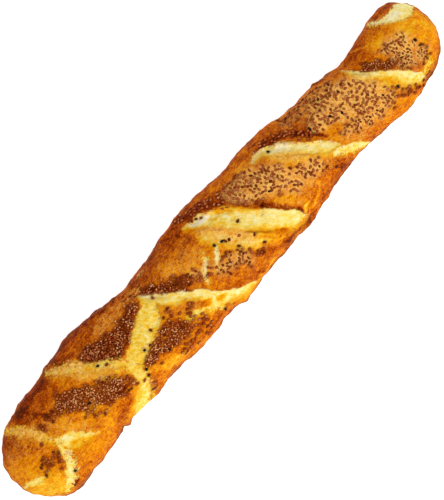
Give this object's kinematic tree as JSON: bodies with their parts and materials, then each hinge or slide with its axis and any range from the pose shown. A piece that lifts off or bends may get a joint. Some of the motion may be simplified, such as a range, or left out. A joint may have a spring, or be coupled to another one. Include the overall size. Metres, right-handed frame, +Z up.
{
  "type": "sesame baguette",
  "caption": "Long crusty baguette with slanting torn slashes, raised dark ears and sesame baked onto its crust, lying on a flat base.",
  "frame": {"origin": "on the table, under the middle of the loaf's box", "axes": "+X along the loaf to its narrow end, +Y across it to the side where the slashes start, +Z up from its flat base"},
  "size_m": [0.53, 0.0942, 0.0618],
  "materials": {
    "crust": "baked golden-brown bread crust with pale crumb in the slashes and toasted sesame"
  },
  "bodies": {
    "root": {"baguette": "crust"}
  },
  "joints": []
}
